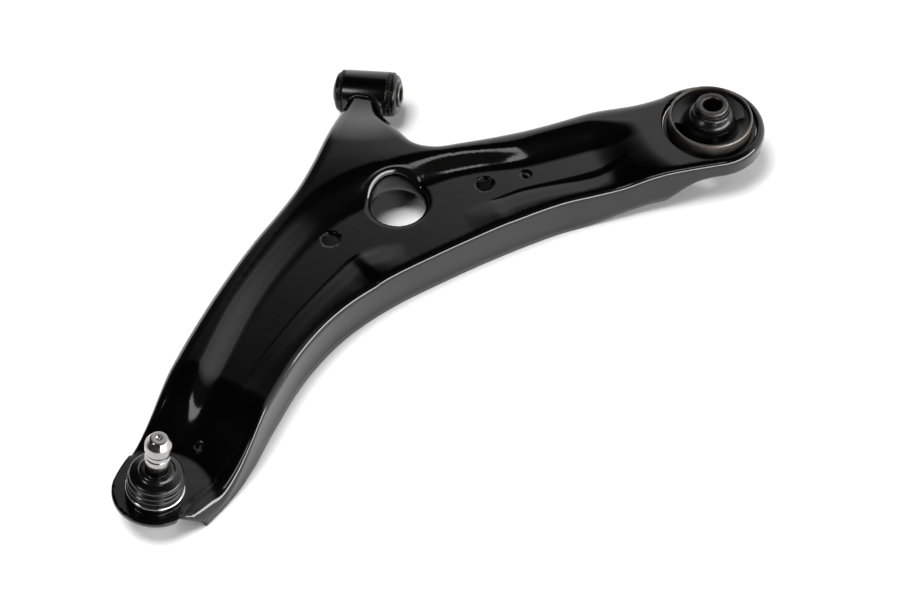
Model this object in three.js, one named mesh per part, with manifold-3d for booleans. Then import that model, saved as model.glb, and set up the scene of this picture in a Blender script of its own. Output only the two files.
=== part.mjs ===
// Front lower control arm: a pressed steel arm, a horizontal front bush in a welded eye, a vertical
// rear bush in a welded ring, and a ball joint with its rubber boot. Units are millimetres, +Z is up.
// +X runs along the front bush towards the rear bush, +Y points away from the wheel.
// Every piece is laid out from the places named here, and the whole arm is then moved so that the
// origin is at the middle of its underside.

import * as THREE from 'three';
import { ConvexHull } from 'three/addons/math/ConvexHull.js';
import { mergeVertices } from 'three/addons/utils/BufferGeometryUtils.js';
import Module from 'manifold-3d';

const wasm = await Module();
wasm.setup();

// ---------------------------------------------------------------- driving dimensions

const GAP = 0.3;                                   // clearance kept between touching pieces
const SHEET = 3.6;                                 // thickness of the pressed steel
const ORIGIN = { x: 9.8, y: -13.8, z: 0 };         // middle of the underside in the layout

const REAR = { x: 165.7, y: 167 };                 // rear bush axis
const FRONT = { x: -92.3, y: 167, z: 26, rise: 5.4 };   // front bush centre, degrees of rise to +X
const BALL = { x: -159, y: -207.5, z: 22, lean: 9, towards: 30 };  // top of its plate, leaning stud
const PLATE_TOE = { x: -157, y: -212 };            // centre of the round toe of the ball joint plate
const PLATE_RISE = { from: 36.5, to: 95 };         // where the sheet rises from the toe, round its centre
const MAIN_HOLE = { x: -47.6, y: 54.3, r: 20 };
const SMALL_HOLES = [{ x: -88.2, y: 11.8 }, { x: 11, y: 82.6 }];
const SMALL_HOLE_R = 6.3;

const FLOOR_Z = 35.5;                              // channel along the middle of the pressing
const RAIL_Z = 46;                                 // raised far rail
const HUB_RISE = 5;                                // extra height of the rail beside the main hole
const PAD_Z = 40.5;                                // flat pad round the rear bush
const RECESS_Z = 36.4;                             // round recess in the pad
const EYE_DROP = 12;                               // fall of the neck down to the front eye
const COLLAR_Z = 26;                               // lower edge of the collar drawn in the main hole

// Front bush, as radii and as half lengths along its axis.
const EYE = { outer: 17, inner: 14.5, half: 17 };
const FRONT_SLEEVE = { outer: 14.2, inner: 12.9, half: 17 };
const END_RING = { outer: 16.7, inner: 13, thick: 2.7 };
const FRONT_INNER = { outer: 9, bore: 6, half: 25.4 };

// Rear bush, as radii and heights.
const REAR_RING = { outer: 34.4, inner: 31.3, low: 19, high: 36.9 };
const REAR_SLEEVE = { outer: 31, inner: 28.9, low: 16, high: 48 };
const REAR_INNER = { outer: 11.6, bore: 7, low: 3, high: 60.4 };
const REAR_WEB = { low: 18, high: 45 };
const REAR_VOIDS = { inner: 17.4, outer: 27.4, startDeg: [15, 197], sweepDeg: 82 };

// Ball joint, as radii and as heights above the top of its plate.
const HOUSING = { neck: 16.2, outer: 19, bottom: -18.8 };
const BALL_HEAD = { r: 10.5, h: -6.5 };

const CELL = 10;                                   // spacing of the points inside the pressing
const FIELD = { x: -200, y: -250, width: 420, depth: 470 };   // area that the points cover
const STEP = 8;                                    // spacing of the points round its outline
const ROUND = 28;                                  // sides of the turned pieces

// ---------------------------------------------------------------- outline of the pressing

// Each vertex is a place in plan, and its z is the radius of the rolled edge there.
const at = (x, y, roll) => new THREE.Vector3(x, y, roll);

const along = (...points) => new THREE.CatmullRomCurve3(points, false, 'centripetal');

function arc(centre, radius, fromDeg, toDeg, roll) {
  const points = [];
  for (let deg = fromDeg; deg <= toDeg + 0.01; deg += (toDeg - fromDeg) / 12) {
    const a = THREE.MathUtils.degToRad(deg);
    points.push(at(centre.x + radius * Math.cos(a), centre.y + radius * Math.sin(a), roll));
  }
  return along(...points);
}

const nearEdge = along(
  at(-124.4, -215.7, 14), at(-116.4, -200.6, 12), at(-109.5, -184, 9), at(-103.6, -163, 6),
  at(-98.4, -137, 5), at(-86.5, -91, 5), at(-71.2, -56.5, 5), at(-53.5, -30.7, 5),
  at(-34.5, -9.8, 5), at(-14.6, 8.6, 5), at(26.2, 43.3, 5), at(68.6, 74.5, 5),
  at(90.2, 86.5, 5), at(132.7, 108.5, 5), at(155, 118.3, 5), at(177.7, 127.8, 5),
);

const farEdge = along(
  at(155, 206.6, 5), at(144.5, 203, 9), at(121, 189.5, 12), at(76, 163, 12), at(32.5, 136.5, 12),
  at(-11, 114, 11), at(-31, 105, 10), at(-45.5, 105.5, 9), at(-61, 120, 9), at(-75, 138, 9),
  at(-82, 156, 8), at(-83, 171, 8),
);

const neckAndLeftEdge = along(
  at(-104, 171, 8), at(-105, 152, 8), at(-108.6, 124, 9), at(-111.8, 97, 10), at(-115.3, 76, 11),
  at(-120.7, 52.5, 12), at(-127.5, 33, 13), at(-142, -5, 13), at(-154.5, -46, 13),
  at(-165, -92, 12), at(-173.6, -142, 10), at(-179, -168, 7), at(-182.3, -183, 4),
);

const plateFlank = along(at(-182.3, -183, 0), at(-185, -193.5, 0), at(-186.9, -205.1, 0));
const plateEnd = along(at(-134.1, -220.2, 0), at(-124.4, -215.7, 0));

// Along a free edge the sheet just stops, and everywhere else a side wall hangs from it.
const outlineSections = [
  { curve: arc(BALL, 28, 175, 333, 0), free: true },
  { curve: plateEnd, free: true },
  { curve: nearEdge, free: false },
  { curve: arc(REAR, 41, -73, 105, 5), free: false },
  { curve: farEdge, free: false },
  { curve: neckAndLeftEdge, free: false },
  { curve: plateFlank, free: true },
];

// The outline as points, moved inwards by one amount on walled edges and by another on free ones.
function outlineRun(wallInset, freeInset) {
  const points = outlineSections.flatMap(({ curve, free }) => {
    const count = Math.max(2, Math.round(curve.getLength() / STEP));
    const amount = free ? freeInset : wallInset;
    return Array.from({ length: count + 1 }, (_, i) => {
      const p = curve.getPointAt(i / count);
      const tangent = curve.getTangentAt(i / count);
      const length = Math.hypot(tangent.x, tangent.y);
      const roll = Math.max(p.z - amount, 0);
      return at(p.x - amount * tangent.y / length, p.y + amount * tangent.x / length, roll);
    });
  });
  return points.filter((p, i) => Math.hypot(p.x - points.at(i - 1).x, p.y - points.at(i - 1).y) > 1.5);
}

const outline = outlineRun(0, 0);

// ---------------------------------------------------------------- plan geometry helpers

const between = (low, high, value) => THREE.MathUtils.smoothstep(value, low, high);
const mix = THREE.MathUtils.lerp;
const distance = (p, q) => Math.hypot(p.x - q.x, p.y - q.y);

// Distance from a place to a run of points, the z of the nearest place on it, and the side it is on.
function nearest(run, x, y, closed = true) {
  let best = { distance: Infinity };
  for (let i = closed ? 0 : 1; i < run.length; i += 1) {
    const a = run.at(i - 1);
    const b = run[i];
    const length2 = (b.x - a.x) ** 2 + (b.y - a.y) ** 2;
    const share = ((x - a.x) * (b.x - a.x) + (y - a.y) * (b.y - a.y)) / length2;
    const t = THREE.MathUtils.clamp(share, 0, 1);
    const d = Math.hypot(x - mix(a.x, b.x, t), y - mix(a.y, b.y, t));
    if (d < best.distance) {
      const side = Math.sign((b.x - a.x) * (y - a.y) - (b.y - a.y) * (x - a.x));
      best = { distance: d, z: mix(a.z, b.z, t), side };
    }
  }
  return best;
}

function isInside(run, x, y) {
  let inside = false;
  for (let i = 0; i < run.length; i += 1) {
    const a = run.at(i - 1);
    const b = run[i];
    const crosses = (a.y > y) !== (b.y > y);
    if (crosses && x < a.x + (b.x - a.x) * (y - a.y) / (b.y - a.y)) inside = !inside;
  }
  return inside;
}

// The outline moved inwards: one point for each point of the run.
function inset(run, amounts) {
  return run.map((p, i) => {
    const before = run.at(i - 1);
    const after = run[(i + 1) % run.length];
    const length = Math.hypot(after.x - before.x, after.y - before.y);
    const nx = -(after.y - before.y) / length;
    const ny = (after.x - before.x) / length;
    return at(p.x + nx * amounts[i], p.y + ny * amounts[i], Math.max(p.z - amounts[i], 0));
  });
}

// ---------------------------------------------------------------- height of the pressing

// Middle of the slope between the channel and the far rail, from the ball joint to the rear pad.
// Here z is half the width of the slope.
const slopeLine = along(
  at(-155, -205, 8), at(-151, -178, 8), at(-147, -150, 8), at(-142, -111, 9), at(-133, -57, 10),
  at(-119.5, -14, 11), at(-103, 24, 13), at(-87, 46, 13), at(-70, 60, 13), at(-53, 70, 12),
  at(-36, 81, 10), at(-18, 91.5, 8), at(4, 101, 7), at(30, 110.5, 8), at(50, 122, 10),
  at(75, 136, 10), at(100, 148, 9), at(125, 160, 8),
).getSpacedPoints(48);

// A rise from 0 to 1 that bends tightly where it starts and eases off towards its end.
function ramp(low, high, value) {
  const knee = 0.12;
  const steepest = 4 / (3 - 2 * knee);
  const t = THREE.MathUtils.clamp((value - low) / (high - low), 0, 1);
  if (t > 0.5) return 1 - steepest * (1 - t) ** 2;
  return t < knee ? steepest * t * t / (2 * knee) : steepest * (t - knee / 2);
}

function ballPlateZ(x, y) {
  const a = THREE.MathUtils.degToRad(BALL.towards);
  const run = (x - BALL.x) * Math.cos(a) + (y - BALL.y) * Math.sin(a);
  return BALL.z - run * Math.tan(THREE.MathUtils.degToRad(BALL.lean));
}

// Top of the sheet before its edges are rolled over.
function crownZ(x, y) {
  const here = { x, y };
  const slope = nearest(slopeLine, x, y, false);
  const hub = Math.exp(-((distance(here, { x: -60, y: 90 }) / 75) ** 2));
  const eye = 1 - between(14, 75, distance(here, FRONT));
  const rail = RAIL_Z + HUB_RISE * hub - EYE_DROP * eye;
  const channel = mix(FLOOR_Z, rail, between(-slope.z, slope.z, slope.distance * slope.side));
  const toRear = distance(here, REAR);
  const pad = mix(RECESS_Z, PAD_Z, between(35.5, 38.5, toRear));
  const arm = mix(pad, channel, between(50, 92, toRear));
  return mix(ballPlateZ(x, y), arm, ramp(PLATE_RISE.from, PLATE_RISE.to, distance(here, PLATE_TOE)));
}

const rollDrop = (radius, depth) => (
  depth >= radius ? 0 : radius - Math.sqrt(radius ** 2 - (radius - Math.max(depth, 0)) ** 2)
);

// Top face of the sheet, or with a thickness its lower face, rolled over along the outline.
function sheetZ(run, thickness, holeR) {
  return (x, y) => {
    const edge = nearest(run, x, y);
    const slopeX = (crownZ(x + 1, y) - crownZ(x - 1, y)) / 2;
    const slopeY = (crownZ(x, y + 1) - crownZ(x, y - 1)) / 2;
    const lower = thickness * Math.min(Math.hypot(1, slopeX, slopeY), 1.5);
    const rim = rollDrop(Math.max(5 - thickness, 1), distance({ x, y }, MAIN_HOLE) - holeR);
    return crownZ(x, y) - lower - rollDrop(edge.z, edge.distance) - rim;
  };
}

// Lower edge of the side walls: it stands on the ground and rises towards the rear bush and the eye.
function hemZ(x, y) {
  const toRear = distance({ x, y }, REAR);
  const nearPad = mix(26, 9, between(41, 62, toRear)) * (1 - between(62, 125, toRear));
  return nearPad + 4 * (1 - between(14, 50, distance({ x, y }, FRONT)));
}

// ---------------------------------------------------------------- solids

const RING_ANGLES = [0, 35, 62, 90];               // rings of points down a rolled edge, in degrees

function ringPoints(run) {
  return RING_ANGLES.flatMap((deg) => {
    const depth = 1 - Math.cos(THREE.MathUtils.degToRad(deg));
    return inset(run, run.map((p) => p.z * depth)).filter((p, i) => deg === 0 || run[i].z > 1.5);
  });
}

function circlePoints(centre, radius, count) {
  return Array.from({ length: count }, (_, i) => {
    const a = 2 * Math.PI * i / count;
    return at(centre.x + radius * Math.cos(a), centre.y + radius * Math.sin(a), 0);
  });
}

// Rows of points along the slope, and a grid everywhere else.
function fieldPoints(run, clearOf) {
  const rows = [-1, -0.5, 0, 0.5, 1].flatMap((share) => (
    inset(slopeLine, slopeLine.map((p) => p.z * share)).slice(1, -1)
  ));
  const toe = [37, 44].flatMap((radius) => circlePoints(PLATE_TOE, radius, 32));
  const points = rows.filter((p) => distance(p, REAR) > 60 && distance(p, PLATE_TOE) > 50);
  points.push(...toe);
  const rowStep = CELL * Math.sin(Math.PI / 3);
  for (let row = 0; row * rowStep < FIELD.depth; row += 1) {
    for (let column = 0; column * CELL < FIELD.width; column += 1) {
      const x = FIELD.x + (column + (row % 2) / 2) * CELL + 0.01 * Math.sin(row * 7 + column);
      const y = FIELD.y + row * rowStep + 0.01 * Math.sin(column * 5 + row);
      const slope = nearest(slopeLine, x, y, false);
      const toToe = distance({ x, y }, PLATE_TOE);
      const clearOfToe = toToe > 50 || toToe < 30;
      if (slope.distance > slope.z + CELL * 0.6 && clearOfToe) points.push(at(x, y, 0));
    }
  }
  return points.filter((p) => {
    const edge = nearest(run, p.x, p.y);
    const clear = clearOf.every(({ centre, radius }) => distance(p, centre) > radius);
    return clear && isInside(run, p.x, p.y) && edge.distance > edge.z + CELL * 0.3;
  });
}

// Triangles of a set of plan points: the underside of their hull when lifted onto a paraboloid.
function triangulate(points) {
  const lifted = points.map((p) => new THREE.Vector3(p.x, p.y, p.x ** 2 + p.y ** 2));
  const indexOf = new Map(lifted.map((p, i) => [p, i]));
  const hull = new ConvexHull().setFromPoints(lifted);
  return hull.faces.filter((face) => face.normal.z < 0).map((face) => {
    const edge = face.edge;
    return [edge, edge.next, edge.prev].map((e) => indexOf.get(e.head().point)).reverse();
  });
}

function solidFromSoup(positions) {
  const soup = new THREE.BufferGeometry();
  soup.setAttribute('position', new THREE.Float32BufferAttribute(positions, 3));
  const merged = mergeVertices(soup, 1e-4);
  return new wasm.Manifold(new wasm.Mesh({
    numProp: 3,
    vertProperties: merged.attributes.position.array,
    triVerts: Uint32Array.from(merged.index.array),
  }));
}

function solidFromGeometry(geometry) {
  const bare = geometry.index ? geometry.toNonIndexed() : geometry;
  return solidFromSoup(Array.from(bare.attributes.position.array));
}

function geometryFromSolid(solid) {
  const mesh = solid.getMesh();
  const geometry = new THREE.BufferGeometry();
  geometry.setAttribute('position', new THREE.BufferAttribute(mesh.vertProperties, 3));
  geometry.setIndex(new THREE.BufferAttribute(mesh.triVerts, 1));
  geometry.computeVertexNormals();
  return geometry;
}

// A solid between two heights over the part of the plan that keep() accepts.
function standingSolid(points, keep, topZ, bottomZ) {
  const positions = [];
  const push = (...corners) => corners.forEach(([i, z]) => positions.push(points[i].x, points[i].y, z[i]));
  const top = points.map((p) => topZ(p.x, p.y));
  const bottom = points.map((p, i) => Math.min(bottomZ(p.x, p.y), top[i] - 1));
  const edges = new Map();
  for (const [a, b, c] of triangulate(points)) {
    const x = (points[a].x + points[b].x + points[c].x) / 3;
    const y = (points[a].y + points[b].y + points[c].y) / 3;
    if (!keep(x, y)) continue;
    push([a, top], [b, top], [c, top]);
    push([a, bottom], [c, bottom], [b, bottom]);
    for (const [p, q] of [[a, b], [b, c], [c, a]]) {
      if (!edges.delete(`${q} ${p}`)) edges.set(`${p} ${q}`, [p, q]);
    }
  }
  for (const [p, q] of edges.values()) {
    push([p, top], [p, bottom], [q, bottom]);
    push([p, top], [q, bottom], [q, top]);
  }
  return solidFromSoup(positions);
}

function drum(centre, radius, lowZ, highZ, sides = 48) {
  const geometry = new THREE.CylinderGeometry(radius, radius, highZ - lowZ, sides);
  geometry.rotateX(Math.PI / 2);
  geometry.translate(centre.x, centre.y, (highZ + lowZ) / 2);
  return solidFromGeometry(geometry);
}

// ---------------------------------------------------------------- the pressed arm

function sheetBody(run, thickness, holeR, bottomZ) {
  const clearOf = [
    { centre: MAIN_HOLE, radius: holeR + 9 },
    { centre: REAR, radius: 46 },
  ];
  const points = [
    ...ringPoints(run),
    ...fieldPoints(run, clearOf),
    ...[0, 1.5, 5].flatMap((out) => circlePoints(MAIN_HOLE, holeR + out, 32)),
    at(MAIN_HOLE.x, MAIN_HOLE.y, 0),
    ...circlePoints(REAR, 30, 40),
    ...circlePoints(REAR, 35.5, 48),
    ...circlePoints(REAR, 38.5, 48).filter((p) => nearest(run, p.x, p.y).distance > 6),
    at(REAR.x, REAR.y, 0),
  ];
  const keep = (x, y) => isInside(run, x, y) && distance({ x, y }, MAIN_HOLE) > holeR;
  return standingSolid(points, keep, sheetZ(run, thickness, holeR), bottomZ);
}

function pressing() {
  const outer = sheetBody(outline, 0, MAIN_HOLE.r, hemZ);
  const inner = sheetBody(outlineRun(SHEET, -6), SHEET, MAIN_HOLE.r + SHEET, () => -20);
  const smallHoles = SMALL_HOLES.map((hole) => drum(hole, SMALL_HOLE_R, 0, 60, 24));
  return outer
    .subtract(inner)
    .subtract(drum(MAIN_HOLE, MAIN_HOLE.r + SHEET + 2, -20, COLLAR_Z))
    .subtract(drum(REAR, REAR_RING.outer + GAP, 0, 60))
    .subtract(smallHoles[0])
    .subtract(smallHoles[1])
    .subtract(placed(turnedSolid(rod(HOUSING.neck + GAP, -30, 30)), ballHolder))
    .subtract(placed(turnedSolid(rod(EYE.outer + GAP, -40, 40), 48), eyeHolder));
}

// ---------------------------------------------------------------- turned pieces

const arcProfile = (radius, height, fromDeg, toDeg, count) => (
  Array.from({ length: count + 1 }, (_, i) => {
    const a = THREE.MathUtils.degToRad(mix(fromDeg, toDeg, i / count));
    return [radius * Math.cos(a), height + radius * Math.sin(a)];
  })
);

// A piece turned round +Z. Its profile is [radius, height] points that start and end on the axis,
// or it closes on itself round the axis.
function turnedGeometry(profile, sides = ROUND) {
  const onAxis = profile[0][0] === 0;
  const loop = onAxis ? profile : [...profile, profile[0]];
  const geometry = new THREE.LatheGeometry(loop.map(([r, h]) => new THREE.Vector2(r, h)), sides);
  geometry.rotateX(Math.PI / 2);
  return geometry;
}

const turnedSolid = (profile, sides) => solidFromGeometry(turnedGeometry(profile, sides));

const tube = (outer, inner, low, high) => [[outer, low], [outer, high], [inner, high], [inner, low]];

const rod = (radius, low, high) => [[0, low], [radius, low], [radius, high], [0, high]];

const placed = (solid, holder) => solid.transform(holder.matrix.toArray());

const mirrored = (profile) => profile.map(([r, h]) => [r, -h]).reverse();

function holderAt(place, rotation) {
  const holder = new THREE.Group();
  holder.position.set(place.x, place.y, place.z ?? 0);
  holder.rotation.copy(rotation);
  holder.updateMatrix();
  return holder;
}

const radians = THREE.MathUtils.degToRad;
const eyeHolder = holderAt(FRONT, new THREE.Euler(0, radians(90 - FRONT.rise), 0));
const rearHolder = holderAt(REAR, new THREE.Euler());
const ballHolder = holderAt(BALL, new THREE.Euler(0, radians(BALL.lean), radians(BALL.towards), 'ZYX'));

// ---------------------------------------------------------------- front bush

// Bead round the end of the neck, where it meets the eye.
function eyeWeld() {
  const path = new THREE.CatmullRomCurve3([
    at(-104.6, 151.4, 15), at(-105, 150.6, 23), at(-103.8, 151.2, 31), at(-99.5, 154, 37),
    at(-91.5, 155.6, 39.3), at(-83, 154.2, 37.4), at(-78.2, 151.2, 31), at(-76.4, 150.2, 23),
    at(-76.6, 151, 15),
  ]);
  const section = new THREE.Shape().absarc(0, 0, 3.2, 0, 2 * Math.PI);
  const bead = new THREE.ExtrudeGeometry(section, { extrudePath: path, steps: 24, curveSegments: 4 });
  const grown = sheetBody(outlineRun(-GAP, -GAP), -GAP, MAIN_HOLE.r, () => -20);
  return solidFromGeometry(bead)
    .subtract(grown)
    .subtract(placed(turnedSolid(rod(EYE.outer + GAP, -40, 40), 48), eyeHolder));
}

const frontEndRing = tube(END_RING.outer, END_RING.inner, EYE.half + GAP, EYE.half + GAP + END_RING.thick);

// The rubber fills the sleeve and swells into a domed flange past each end ring.
const domeAt = EYE.half + END_RING.thick + 2 * GAP;
const rubberDome = [
  [FRONT_SLEEVE.inner - GAP, domeAt], [15.2, domeAt], [15.2, domeAt + 1], [13.6, domeAt + 3],
  [11.4, domeAt + 3.6], [FRONT_INNER.outer + 1.2, domeAt + 2.6], [FRONT_INNER.outer + GAP, domeAt + 2.4],
];
const frontRubber = [...mirrored(rubberDome), ...rubberDome];

const frontInner = [
  [FRONT_INNER.outer, -FRONT_INNER.half + 0.8], [FRONT_INNER.outer, FRONT_INNER.half - 0.8],
  [FRONT_INNER.outer - 0.8, FRONT_INNER.half], [FRONT_INNER.bore, FRONT_INNER.half],
  [FRONT_INNER.bore, -FRONT_INNER.half], [FRONT_INNER.outer - 0.8, -FRONT_INNER.half],
];

// ---------------------------------------------------------------- rear bush

// The rubber joins the sleeves by two webs, rises in a bulb round the inner sleeve and ends in a neck.
const rearRubberProfile = [
  [REAR_SLEEVE.inner - GAP, REAR_WEB.low], [REAR_SLEEVE.inner - GAP, REAR_WEB.high],
  [17.2, REAR_WEB.high], [17, 48], [16.2, 51], [14.4, 53.4], [13, 54.4], [12.7, 57.6],
  [REAR_INNER.outer + GAP, 58], [REAR_INNER.outer + GAP, 24], [16, REAR_WEB.low],
];

// A kidney-shaped void right through one side of the rubber.
function voidSolid(startDeg) {
  const from = radians(startDeg);
  const to = radians(startDeg + REAR_VOIDS.sweepDeg);
  const shape = new THREE.Shape();
  shape.absarc(0, 0, REAR_VOIDS.outer, from, to, false);
  shape.absarc(0, 0, REAR_VOIDS.inner, to, from, true);
  const geometry = new THREE.ExtrudeGeometry(shape, { depth: 60, bevelEnabled: false, curveSegments: 8 });
  return solidFromGeometry(geometry);
}

const rearRubber = () => REAR_VOIDS.startDeg.reduce(
  (rubber, startDeg) => rubber.subtract(voidSolid(startDeg)),
  turnedSolid(rearRubberProfile, 40),
);

// ---------------------------------------------------------------- ball joint

const housing = [
  [HOUSING.neck, -SHEET - GAP], [HOUSING.neck, 4.2], [14.6, 4.2], [11.6, 0.5], [11.6, -1.2],
  [13.5, -1.6], [13.5, -17.1], [15.2, -17.1], [15.2, HOUSING.bottom], [16.8, HOUSING.bottom],
  [HOUSING.outer, -15], [HOUSING.outer, -SHEET - GAP],
];

const endCap = rod(14.9, HOUSING.bottom, -17.4);
const preloadWasher = tube(13.2, 5, -17.1, -16.3);

const ballSeat = [
  [5.9, -16], [13.2, -16], [13.2, -1.9],
  ...arcProfile(BALL_HEAD.r + GAP, BALL_HEAD.h, 25.2, -57, 9),
];

const ballStud = [
  [0, -15.6], ...arcProfile(BALL_HEAD.r, BALL_HEAD.h, -60, 57.8, 11), [5.6, 4], [6.2, 10], [6.3, 21],
  [7.4, 28], [8.4, 34], [8.4, 37.6], [7.6, 38.8], [7.6, 41.2], [8.6, 42.6], [8.8, 49.6],
  [5.6, 55], [1.8, 55], [0, 52.8],
];

// Three folds stand on the clamp ring under a rounded shoulder, which closes to a lip on the stud.
const dustBoot = [
  [17.2, 0.7], [17.2, 5.1], [18.6, 6.6], [18.6, 9.4], [16.8, 10.4], [18.7, 11.6], [18.7, 13.6],
  [16.6, 14.8], [17.8, 16.2], [17.4, 18.6], [14.6, 20.4], [11.4, 20.9], [9.4, 21.2], [9.4, 23.4],
  [6.9, 23.4], [6.9, 19.6], [13.2, 18.8], [15.6, 17.6], [16, 16.6], [14.8, 14.8], [16.9, 13],
  [16.9, 12.2], [15, 10.4], [16.9, 8.8], [16.9, 7.2], [16.5, 6], [16.5, 0.7],
];

const bootLowerRing = tube(19.6, 17.5, 0.4, 4.6);
const bootUpperRing = tube(11.1, 9.7, 21.7, 23.2);

// ---------------------------------------------------------------- materials and the assembly

const finish = (color, roughness, metalness) => (
  new THREE.MeshStandardMaterial({ color, roughness, metalness })
);

const blackPaint = finish(0x101012, 0.25, 0.2);
const bareSteel = finish(0x6b6259, 0.5, 0.9);
const phosphatedSteel = finish(0x5a5650, 0.6, 0.7);
const brightSteel = finish(0xd0d0cc, 0.15, 1);
const zincPlate = finish(0xb9bcb8, 0.35, 0.9);
const springSteel = finish(0x55585c, 0.4, 0.9);
const rubber = finish(0x17171a, 0.7, 0);
const nylon = finish(0xd8d4c4, 0.5, 0);

function piece(name, shape, material, holder) {
  const geometry = shape.getMesh ? geometryFromSolid(shape) : turnedGeometry(shape);
  const mesh = new THREE.Mesh(geometry, material);
  mesh.name = name;
  holder.add(mesh);
}

const arm = new THREE.Group();
arm.name = 'control_arm';
arm.position.set(-ORIGIN.x, -ORIGIN.y, -ORIGIN.z);
arm.add(eyeHolder, rearHolder, ballHolder);

piece('arm_pressing', pressing(), blackPaint, arm);
piece('front_eye_weld', eyeWeld(), blackPaint, arm);

piece('front_eye_tube', tube(EYE.outer, EYE.inner, -EYE.half, EYE.half), blackPaint, eyeHolder);
piece('front_bush_outer_sleeve', tube(FRONT_SLEEVE.outer, FRONT_SLEEVE.inner, -FRONT_SLEEVE.half,
  FRONT_SLEEVE.half), bareSteel, eyeHolder);
piece('front_bush_end_ring_outer', mirrored(frontEndRing), rubber, eyeHolder);
piece('front_bush_end_ring_inner', frontEndRing, rubber, eyeHolder);
piece('front_bush_rubber', frontRubber, rubber, eyeHolder);
piece('front_bush_inner_sleeve', frontInner, phosphatedSteel, eyeHolder);

piece('rear_bush_ring', tube(REAR_RING.outer, REAR_RING.inner, REAR_RING.low, REAR_RING.high), blackPaint,
  rearHolder);
piece('rear_bush_outer_sleeve', tube(REAR_SLEEVE.outer, REAR_SLEEVE.inner, REAR_SLEEVE.low,
  REAR_SLEEVE.high), bareSteel, rearHolder);
piece('rear_bush_rubber', rearRubber(), rubber, rearHolder);
piece('rear_bush_inner_sleeve', tube(REAR_INNER.outer, REAR_INNER.bore, REAR_INNER.low, REAR_INNER.high),
  phosphatedSteel, rearHolder);

piece('ball_joint_housing', housing, zincPlate, ballHolder);
piece('ball_joint_end_cap', endCap, zincPlate, ballHolder);
piece('ball_preload_washer', preloadWasher, springSteel, ballHolder);
piece('ball_seat', ballSeat, nylon, ballHolder);
piece('ball_stud', ballStud, brightSteel, ballHolder);
piece('dust_boot', dustBoot, rubber, ballHolder);
piece('boot_lower_ring', bootLowerRing, brightSteel, ballHolder);
piece('boot_upper_ring', bootUpperRing, springSteel, ballHolder);

export default arm;
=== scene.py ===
"""Looks of a front lower control arm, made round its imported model.

Shapes are worked out in millimetres in the arm's own layout, with +Z up, and are moved to the model's
frame, in metres, when a mesh is made. Turned pieces are profiles of (radius, height) round an axis.
"""

import math

import bpy
import numpy as np
from mathutils import Matrix, Vector, noise
from mathutils.geometry import delaunay_2d_cdt


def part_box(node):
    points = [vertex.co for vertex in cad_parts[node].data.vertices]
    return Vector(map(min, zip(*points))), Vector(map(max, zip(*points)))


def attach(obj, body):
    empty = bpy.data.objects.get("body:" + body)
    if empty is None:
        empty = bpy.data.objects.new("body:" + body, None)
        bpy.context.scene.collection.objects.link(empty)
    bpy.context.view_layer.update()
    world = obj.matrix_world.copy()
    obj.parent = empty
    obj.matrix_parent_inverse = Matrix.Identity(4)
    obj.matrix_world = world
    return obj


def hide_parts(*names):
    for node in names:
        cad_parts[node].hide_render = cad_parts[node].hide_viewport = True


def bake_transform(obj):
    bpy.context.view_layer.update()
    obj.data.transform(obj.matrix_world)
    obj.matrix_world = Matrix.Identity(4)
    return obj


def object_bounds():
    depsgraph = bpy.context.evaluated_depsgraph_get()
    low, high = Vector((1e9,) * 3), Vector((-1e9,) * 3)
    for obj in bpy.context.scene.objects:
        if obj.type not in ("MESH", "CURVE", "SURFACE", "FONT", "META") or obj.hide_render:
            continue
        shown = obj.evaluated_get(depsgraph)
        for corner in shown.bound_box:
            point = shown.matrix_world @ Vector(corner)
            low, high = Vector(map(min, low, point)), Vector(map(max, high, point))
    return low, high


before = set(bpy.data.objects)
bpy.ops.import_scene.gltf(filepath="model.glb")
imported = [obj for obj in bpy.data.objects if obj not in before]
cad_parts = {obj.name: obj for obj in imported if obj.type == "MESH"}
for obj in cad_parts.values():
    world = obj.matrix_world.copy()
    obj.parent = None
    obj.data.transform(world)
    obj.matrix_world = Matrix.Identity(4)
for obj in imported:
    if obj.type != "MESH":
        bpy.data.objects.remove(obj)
cad_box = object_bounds()

# ---------------------------------------------------------------- driving dimensions

MM = 0.001
SHEET = 3.6                                   # thickness of the pressed steel
REAR = np.array([165.7, 167.0])               # rear bush axis
FRONT = np.array([-92.3, 167.0, 26.0])        # middle of the front bush
FRONT_RISE = 5.4                              # degrees that the front bush rises towards +X
BALL = np.array([-159.0, -207.5, 22.0])       # top of the ball joint plate, on the stud's axis
BALL_LEAN, BALL_TOWARDS = 9.0, 30.0           # lean of the stud, and the way it leans, in degrees
PLATE_TOE = np.array([-157.0, -212.0])
MAIN_HOLE, MAIN_HOLE_R = np.array([-47.6, 54.3]), 20.0
SMALL_HOLES, SMALL_HOLE_R = np.array([[-88.2, 11.8], [11.0, 82.6]]), 6.3
BUTTON, BUTTON_R = np.array([-140.4, -168.4]), 3.4
DIMPLE, DIMPLE_R = np.array([39.0, 97.0]), 4.4

FLOOR_Z, RAIL_Z, HUB_RISE = 35.5, 46.0, 5.0   # channel, far rail and the rail's rise beside the hole
PAD_Z, RECESS_Z, EYE_DROP = 40.5, 36.4, 12.0
LIP_R, COLLAR_Z = 5.0, 26.0                   # rolled lip and lower edge of the collar in the main hole
EYE_R = 17.0
REAR_HOLE_R, PLATE_HOLE_R = 34.45, 16.5
PIVOT_Z = 31.7                                # height at which the rear bush's inner sleeve tilts

STEP = 2.4                                    # spacing of the mesh along an edge and inside it
TURNED_SIDES = 112

low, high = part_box("rear_bush_inner_sleeve")
ORIGIN = np.append(REAR - np.array((low + high) / 2)[:2] / MM, 0.0)

# ---------------------------------------------------------------- plan geometry


def unit(vectors):
    return vectors / np.linalg.norm(vectors, axis=-1, keepdims=True)


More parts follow.
